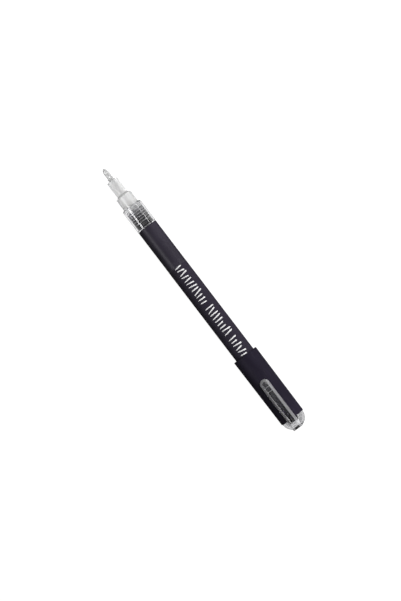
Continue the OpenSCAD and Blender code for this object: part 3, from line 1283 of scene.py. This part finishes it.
@dataclass
class BarrelAssembly:
    """The dark barrel, its printed label film, the tail plug and the mixing ball."""

    start: float = 35.05
    end: float = 132.65
    radius: float = 5.2
    bore_r: float = 4.4
    edge: float = 0.25
    label_start: float = 59.15
    label_end: float = 130.05
    film_r: float = 5.25
    film_t: float = 0.02
    film_gap: float = 0.004
    lap: float = math.radians(14)
    seam: float = math.radians(205)
    dab_w: float = 0.74
    dab_half: float = 2.6
    dab_t: float = 0.012
    dab_pitch: float = 1.9
    dab_shift: float = 1.06
    dab_lean: float = 0.26
    shortest: float = 0.62
    dab_taper: float = 0.22
    dab_groups: tuple[tuple[float, int], ...] = ((60.0, 12), (84.4, 9), (103.0, 11))
    plug_depth: float = 5.0
    plug_wall: float = 0.9
    plug_flange: float = 0.8
    gate_r: float = 0.7
    gate_depth: float = 0.25
    rib_proud: float = 0.17
    rib_slope: float = 0.1
    barrel_plastic: MouldedPlastic = MouldedPlastic(
        "barrel_plastic", (0.027, 0.023, 0.035), 0.4, 0.14
    )
    plug_plastic: MouldedPlastic = MouldedPlastic("plug_plastic", (0.014, 0.013, 0.018), 0.5)
    ink: ScreenInk = ScreenInk("white_ink", (0.82, 0.82, 0.82))
    steel: BallSteel = BallSteel("mixing_steel", (0.62, 0.62, 0.64))

    def tube(self, axis: PenAxis) -> bpy.types.Object:
        """The barrel tube, rounded at its front edge."""
        corners = [
            (self.start, self.bore_r, 0.1),
            (self.start, self.radius, self.edge),
            (self.end, self.radius, 0.12),
            (self.end, self.bore_r, 0.1),
        ]
        return lathe("barrel_tube", axis, corners, True)

    def film(self, axis: PenAxis) -> bpy.types.Object:
        """The label: one wrap of film whose last part laps over its first."""
        ends = [Vector((self.label_start, 0)), Vector((self.label_end, 0))]
        stations = [point.x for point in supported(ends, False)]
        section = [(z, 0.0) for z in stations]
        section += [(z, self.film_t) for z in reversed(stations)]
        under = self.radius + self.film_gap
        rings = []
        for k in range(SEGMENTS + 1):
            swept = (2 * math.pi + self.lap) * k / SEGMENTS
            lapped = max(0.0, swept - 2 * math.pi) / self.lap
            lift = (self.film_r - under - self.film_t) * min(1.0, 3 * lapped)
            radius, turn = under + lift, self.seam + swept
            rings.append([axis.point(z, radius + extra, turn) for z, extra in section])
        return skinned("label_film_wrap", rings)

    def dab(self) -> bpy.types.Object:
        """One brush dab, flat on X and Y: full at its start and thin at its lifted end."""
        steps, thick = 20, self.dab_t * MM
        rings = []
        for k in range(steps + 1):
            along = -1 + 2 * k / steps
            taper = 1 - self.dab_taper * (1 - along)
            half = self.dab_w / 2 * taper * math.sqrt(max(0.02, 1 - abs(along) ** 7)) * MM
            y = along * self.dab_half * MM
            corners = ((-half, 0.0), (half, 0.0), (half, thick), (-half, thick))
            rings.append([Vector((x, y, z)) for x, z in corners])
        return skinned("dab_seed", rings)

    def plug(self, axis: PenAxis) -> bpy.types.Object:
        """The tail plug: a cup with a flange that has a gate dimple in its middle."""
        flange_end = self.end + self.plug_flange
        deep = self.end - self.plug_depth
        outer, inner = self.bore_r - CLEAR, self.bore_r - self.plug_wall
        corners = [
            (flange_end - self.gate_depth, 0.0),
            (flange_end - self.gate_depth, self.gate_r, 0.1),
            (flange_end, self.gate_r + 0.2, 0.1),
            (flange_end, self.radius - 0.15, 0.25),
            (self.end + CLEAR, self.radius - 0.15, 0.1),
            (self.end + CLEAR, outer, 0.05),
            (deep, outer, 0.3),
            (deep, inner, 0.1),
            (self.end - self.plug_wall, inner, 0.3),
            (self.end - self.plug_wall, 0.0),
        ]
        return lathe("tail_plug_cup", axis, corners, False, 96)

    def grip_rib(self, axis: PenAxis) -> bpy.types.Object:
        """One of the small ribs round the plug's flange."""
        start, end = self.end + 0.12, self.end + self.plug_flange - 0.28
        base = self.radius - 0.2
        top, slope = base + self.rib_proud, self.rib_slope
        foot, crest = 0.035, 0.015
        return skinned("grip_rib_seed", [
            [
                axis.point(z, r, turn)
                for r, turn in ((base, -foot), (high, -crest), (high, crest), (base, foot))
            ]
            for z, high in ((start, base), (start + slope, top), (end - slope, top), (end, base))
        ])

    def print_dabs(self, bench: Bench) -> None:
        """Prints three groups of dabs in a band along the barrel."""
        for number, (start, count) in enumerate(self.dab_groups, 1):
            dabs = bench.dabs.run(
                self.dab(), f"print_dabs_{number}", self.ink,
                count=count, seed_number=number, start=bench.axis.x(start),
                pitch=self.dab_pitch * MM, shortest=self.shortest, lean=self.dab_lean,
                half_band=self.dab_half * MM, shift=self.dab_shift * MM,
                radius=(self.film_r - self.film_t - self.film_gap) * MM, height=bench.axis.height,
            )
            bench.hand_over(dabs, Body.PEN)

    def build(self, bench: Bench) -> None:
        """Makes the barrel's pieces and hands them over."""
        axis = bench.axis
        tube = self.tube(axis)
        bench.hand_over(tube, Body.PEN, self.barrel_plastic, ["barrel"])
        matte = LabelFilm(
            "matte_film", (0.026, 0.022, 0.034),
            front=axis.x(self.label_start), rear=axis.x(self.label_end),
        )
        film = self.film(axis)
        bench.hand_over(film, Body.PEN, matte, ["label_wrap"])
        self.print_dabs(bench)
        plug = self.plug(axis)
        bench.hand_over(plug, Body.PEN, self.plug_plastic, ["tail_plug"])
        ribs = bench.ring.run(
            self.grip_rib(axis), "plug_ribs", self.plug_plastic, count=24, height=axis.height
        )
        bench.hand_over(ribs, Body.PEN)
        bench.carry_over("mixing_ball", self.steel)


@dataclass
class CapAssembly:
    """The posted cap: dark sleeve over a clear shell, dark liner inside, clear clip on top."""

    mouth: float = 113.4
    shell_start: float = 114.02
    sleeve_end: float = 151.4
    end: float = 156.75
    bore_r: float = 5.34
    sleeve_mouth_r: float = 6.595
    sleeve_rear_r: float = 6.395
    sleeve_wall: float = 0.4
    sleeve_edge: float = 0.35
    shell_mouth_r: float = 6.17
    dome_r: float = 5.97
    dome_wall: float = 1.1
    liner_start: float = 133.6
    seal_start: float = 140.6
    chamber_start: float = 146.8
    chamber_end: float = 153.15
    collar_bore_r: float = 4.3
    seal_bore_r: float = 2.85
    chamber_r: float = 2.35
    liner_wall: float = 0.6
    clip_start: float = 127.55
    root_start: float = 153.0
    clip_base: float = 7.145
    clip_top: float = 8.395
    clip_w: float = 5.2
    clip_top_w: float = 2.8
    bead_station: float = 133.15
    bead_h: float = 0.4
    bead_r: float = 3.0
    root_edge: float = 0.28
    arm_edge: float = 0.3
    root_gap: float = 0.015
    sleeve_plastic: MouldedPlastic = MouldedPlastic(
        "sleeve_plastic", (0.018, 0.015, 0.026), 0.5, 0.03
    )
    liner_plastic: MouldedPlastic = MouldedPlastic("liner_plastic", (0.016, 0.016, 0.021), 0.5)
    # Rough clear plastic with a whitish diffuse share: partly the mould's frosting, partly a
    # painted highlight on the clip's slanted sides and the cap's flat end.
    frosted_highlight: ClearPlastic = ClearPlastic(
        "frosted_side", (0.86, 0.86, 0.88), roughness=0.4, transmission=0.8, wave=0.001
    )
    # The grey tint darkens all that shows through the clear shell and clip: painted shade.
    shell_clear: ClearPlastic = ClearPlastic(
        "clear_cap", (0.60, 0.60, 0.61), roughness=0.06, transmission=0.98
    )

    def sleeve(self, axis: PenAxis) -> bpy.types.Object:
        """The dark sleeve with its lip round the mouth and its rounded rear edge."""
        inner_step = self.shell_start - 0.04
        corners = [
            (self.mouth, self.bore_r, 0.12),
            (self.mouth, self.sleeve_mouth_r, 0.12),
            (self.sleeve_end, self.sleeve_rear_r, self.sleeve_edge),
            (self.sleeve_end, self.sleeve_rear_r - self.sleeve_wall, 0.03),
            (inner_step, self.sleeve_mouth_r - self.sleeve_wall),
            (inner_step, self.bore_r, 0.05),
        ]
        return lathe("sleeve_tube", axis, corners, True)

    def shell(self, axis: PenAxis) -> bpy.types.Object:
        """The clear shell with its hollow dome and the clip's root on top."""
        inner_r = self.dome_r - self.dome_wall
        outer_dome = dome(self.dome_r, self.sleeve_end, self.end - self.sleeve_end, 18)
        inner_dome = dome(
            inner_r, self.sleeve_end, self.end - self.dome_wall - self.sleeve_end, 14
        )
        outer_dome[-1] = (*outer_dome[-1], 0.5)
        inner_dome[-1] = (*inner_dome[-1], 0.4)
        outer = [
            (self.shell_start, 0.0), (self.shell_start, self.shell_mouth_r, 0.1),
            *outer_dome, (self.end, 0.0),
        ]
        inner = [
            (self.shell_start - 1, 0.0), (self.shell_start - 1, self.bore_r),
            (self.sleeve_end, self.bore_r), *inner_dome, (self.end - self.dome_wall, 0.0),
        ]
        body = lathe("shell_outer", axis, outer, False)
        hollow = lathe("shell_inner", axis, inner, False)
        body = combined(body, self.root(axis), "UNION", "shell_with_root")
        body = combined(body, hollow, "DIFFERENCE", "shell_dome")
        body.data.set_sharp_from_angle(angle=SHARP_ANGLE)
        return body

    def bar(
        self, axis: PenAxis, name: str, start: float, end: float, low: float, round_end: bool
    ) -> bpy.types.Object:
        """A bar with the clip's section: a flat top between two slanted sides.

        Args:
            axis: The pen's centre line.
            name: The piece's name.
            start: Station of its front.
            end: Station of its rear.
            low: Height of its underside above the centre line.
            round_end: Whether its front is a half round in plan.

        Returns:
            The bar, with sharp edges.
        """
        layers = [(low, self.clip_w / 2)] if low < self.clip_base else []
        layers += [(self.clip_base, self.clip_w / 2), (self.clip_top, self.clip_top_w / 2)]
        steps = 24
        loops = []
        for height, half in layers:
            plan = [(end, -half), (end, half)]
            if round_end:
                centre = start + self.clip_w / 2
                turns = [math.pi / 2 - math.pi * k / steps for k in range(steps + 1)]
                plan += [(centre - half * math.cos(a), half * math.sin(a)) for a in turns]
            else:
                plan += [(start, half), (start, -half)]
            z = axis.height + height * MM
            loops.append([Vector((axis.x(s), y * MM, z)) for s, y in plan])
        return skinned(name, loops)

    def root(self, axis: PenAxis) -> bpy.types.Object:
        """The clip's root, which stands on the dome."""
        sharp = self.bar(axis, "root_sharp", self.root_start, self.end, self.dome_r / 2, False)
        return softened(sharp, "root_soft", self.root_edge)

    def arm(self, axis: PenAxis) -> bpy.types.Object:
        """The springy arm of the clip, with a bead under its free end."""
        front, rear = self.clip_start, self.root_start - self.root_gap
        bar = self.bar(axis, "arm_sharp", front, rear, self.clip_base, True)
        bar = softened(bar, "arm_soft", self.arm_edge)
        half = self.clip_top_w / 2
        steps = 12
        sunk = 0.3
        reach = math.acos(1 - (self.bead_h + sunk) / self.bead_r)
        bow = []
        for k in range(steps + 1):
            turn = -reach + 2 * reach * k / steps
            station = self.bead_station + self.bead_r * math.sin(turn)
            height = self.clip_base - self.bead_h + self.bead_r * (1 - math.cos(turn))
            bow.append((axis.x(station), axis.height + height * MM))
        bead = skinned("bead", [[Vector((x, y * MM, z)) for x, z in bow] for y in (-half, half)])
        arm = combined(bar, bead, "UNION", "clip_arm")
        arm.data.set_sharp_from_angle(angle=SHARP_ANGLE)
        return arm

    def frost_and_highlight(self, piece: bpy.types.Object, axis: PenAxis) -> None:
        """Gives the clip's sides and ends, and the cap's flat end, a frosted finish whose whitish
        diffuse share makes them light: mould texture with a painted highlight.
        """
        level, upright = 0.93, 0.7
        piece.data.materials.append(self.frosted_highlight.material())
        floor = axis.height + (self.clip_base - 0.2) * MM
        last = axis.x(self.end - 0.3)
        for face in piece.data.polygons:
            side = face.center.z > floor and abs(face.normal.z) < level
            if side or (face.center.x > last and face.normal.x > upright):
                face.material_index = 1

    def liner(self, axis: PenAxis) -> bpy.types.Object:
        """The dark inner cap: collar, seal for the front tube and chamber for the tip."""
        seal_r = self.seal_bore_r + self.liner_wall
        bore = self.chamber_r - self.liner_wall
        wall = self.liner_wall
        corners = [
            (self.chamber_end, 0.0),
            (self.chamber_end, self.chamber_r, 0.45),
            (self.chamber_start + wall, self.chamber_r, 0.1),
            (self.chamber_start + wall, seal_r, 0.15),
            (self.seal_start + wall, seal_r, 0.2),
            (self.seal_start + wall, self.bore_r - 0.02, 0.15),
            (self.liner_start, self.bore_r - 0.02, 0.15),
            (self.liner_start, self.collar_bore_r, 0.15),
            (self.seal_start, self.collar_bore_r, 0.1),
            (self.seal_start, self.seal_bore_r, 0.15),
            (self.chamber_start, self.seal_bore_r, 0.1),
            (self.chamber_start, bore, 0.1),
            (self.chamber_end - wall, bore, 0.3),
            (self.chamber_end - wall, 0.0),
        ]
        return lathe("liner_cup", axis, corners, False)

    def build(self, bench: Bench) -> None:
        """Makes the cap's pieces and hands them over."""
        axis = bench.axis
        shell = self.shell(axis)
        bench.hand_over(shell, Body.CAP, self.shell_clear, ["cap_shell"])
        self.frost_and_highlight(shell, axis)
        liner = self.liner(axis)
        bench.hand_over(liner, Body.CAP, self.liner_plastic, ["cap_liner"])
        sleeve = self.sleeve(axis)
        bench.hand_over(sleeve, Body.CAP, self.sleeve_plastic, ["cap_sleeve"])
        arm = self.arm(axis)
        bench.hand_over(arm, Body.CLIP, self.shell_clear, ["cap_clip"])
        self.frost_and_highlight(arm, axis)


# ---------------------------------------------------------------- the studio


class Use(Enum):
    """What a soft box does: it lights the surfaces, or only shows as a reflection in them."""

    FILL = "fill"
    GLOSS = "gloss"


@dataclass(frozen=True)
class SoftBox:
    """One long soft box that hangs parallel to the pen."""

    angle: float
    radiance: float
    width: float
    use: Use


@dataclass
class Studio:
    """The plain studio: camera, long soft boxes, white floor and white surround."""

    lean: float = 7.2
    roll: float = 52.67
    distance: float = 1093.5
    aim_station: float = 79.225
    aim_side: float = -1.09
    lens: float = 135.0
    sensor: float = 36.0
    box_distance: float = 0.8
    box_length: float = 1.2
    boxes: tuple[SoftBox, ...] = (
        SoftBox(-47.0, 8.0, 0.24, Use.GLOSS),
        SoftBox(56.0, 3.8, 0.18, Use.GLOSS),
        SoftBox(0.0, 0.18, 0.6, Use.GLOSS),
        SoftBox(88.0, 1.5, 0.4, Use.GLOSS),
        SoftBox(30.0, 4.2, 0.6, Use.FILL),
    )
    world_grey: float = 0.06
    surround_r: float = 6.0
    floor_drop: float = 0.02

    def directions(self) -> tuple[Vector, Vector]:
        """The unit vectors towards the camera and across the pen."""
        lean = math.radians(self.lean)
        back = Vector((0.0, math.sin(lean), math.cos(lean)))
        across = Vector((0.0, math.cos(lean), -math.sin(lean)))
        return back, across

    def camera(self, axis: PenAxis) -> None:
        """Sets the camera over the pen, rolled so that the pen runs down to the right."""
        back, across = self.directions()
        roll = math.radians(self.roll)
        along = Vector((1.0, 0.0, 0.0))
        right = along * math.cos(roll) + across * math.sin(roll)
        up = across * math.cos(roll) - along * math.sin(roll)
        aim = axis.point(self.aim_station, 0.0, 0.0) + across * self.aim_side * MM
        place = aim + back * self.distance * MM
        data = bpy.data.cameras.new("studio_camera")
        data.lens = self.lens
        data.sensor_width = self.sensor
        data.clip_start = 0.01
        camera = bpy.data.objects.new("studio_camera", data)
        camera.matrix_world = self.facing(right, up, back, place)
        bpy.context.scene.collection.objects.link(camera)
        bpy.context.scene.camera = camera

    @staticmethod
    def facing(right: Vector, up: Vector, back: Vector, place: Vector) -> Matrix:
        """A placement whose X, Y and Z are right, up and back."""
        turned = Matrix((right, up, back)).transposed().to_4x4()
        return Matrix.Translation(place) @ turned

    def soft_boxes(self, axis: PenAxis) -> None:
        """Hangs the long soft boxes over the pen, parallel to it."""
        back, across = self.directions()
        along = Vector((1.0, 0.0, 0.0))
        middle = axis.point(self.aim_station, 0.0, 0.0)
        for number, box in enumerate(self.boxes, 1):
            turn = math.radians(box.angle)
            out = back * math.cos(turn) + across * math.sin(turn)
            light = bpy.data.lights.new(f"soft_box_{number}", "AREA")
            light.shape = "RECTANGLE"
            light.size = self.box_length
            light.size_y = box.width
            light.energy = box.radiance * math.pi * self.box_length * box.width
            lamp = bpy.data.objects.new(light.name, light)
            place = middle + out * self.box_distance
            lamp.matrix_world = self.facing(along, out.cross(along), out, place)
            lamp.visible_camera = False
            lamp.visible_diffuse = box.use is Use.FILL
            lamp.visible_glossy = lamp.visible_transmission = box.use is Use.GLOSS
            bpy.context.scene.collection.objects.link(lamp)

    def surround(self) -> None:
        """Lays the floor and puts up the white surround."""
        work = bmesh.new()
        bmesh.ops.create_circle(work, cap_ends=True, radius=self.surround_r, segments=96)
        bmesh.ops.translate(work, verts=work.verts, vec=(0.0, 0.0, -self.floor_drop * MM))
        floor = as_piece("floor", work)
        floor.data.materials.append(Ground("white_floor", (0.1, 0.1, 0.1)).material())
        floor.visible_glossy = False
        work = bmesh.new()
        bmesh.ops.create_uvsphere(work, u_segments=48, v_segments=24, radius=self.surround_r)
        bmesh.ops.reverse_faces(work, faces=work.faces)
        room = as_piece("surround", work)
        room.data.materials.append(Ground("white_surround", (0.0, 0.0, 0.0)).material())
        for ray in ("diffuse", "glossy", "shadow", "volume_scatter"):
            setattr(room, f"visible_{ray}", False)
        world = bpy.data.worlds.new("studio_world")
        world.use_nodes = True
        grey = (self.world_grey,) * 3
        desk = Desk(world.node_tree)
        world.node_tree.nodes.clear()
        shine = desk.add("ShaderNodeBackground", None, {"Color": grey})
        desk.add("ShaderNodeOutputWorld", None, {"Surface": shine.outputs[0]})
        bpy.context.scene.world = world

    def build(self, axis: PenAxis) -> None:
        """Sets up the whole studio."""
        bpy.context.scene.view_settings.view_transform = "Standard"
        self.camera(axis)
        self.soft_boxes(axis)
        self.surround()


def main() -> None:
    """Builds the studio and the pen."""
    logging.basicConfig(level=logging.INFO, format="%(name)s %(message)s")
    bench = Bench(PenAxis.from_frame())
    Studio().build(bench.axis)
    for assembly in (
        TipAssembly(), NozzleAssembly(), WindowAssembly(), BarrelAssembly(), CapAssembly(),
    ):
        assembly.build(bench)
        log.info("built %s", type(assembly).__name__)


if __name__ == "__main__":
    main()
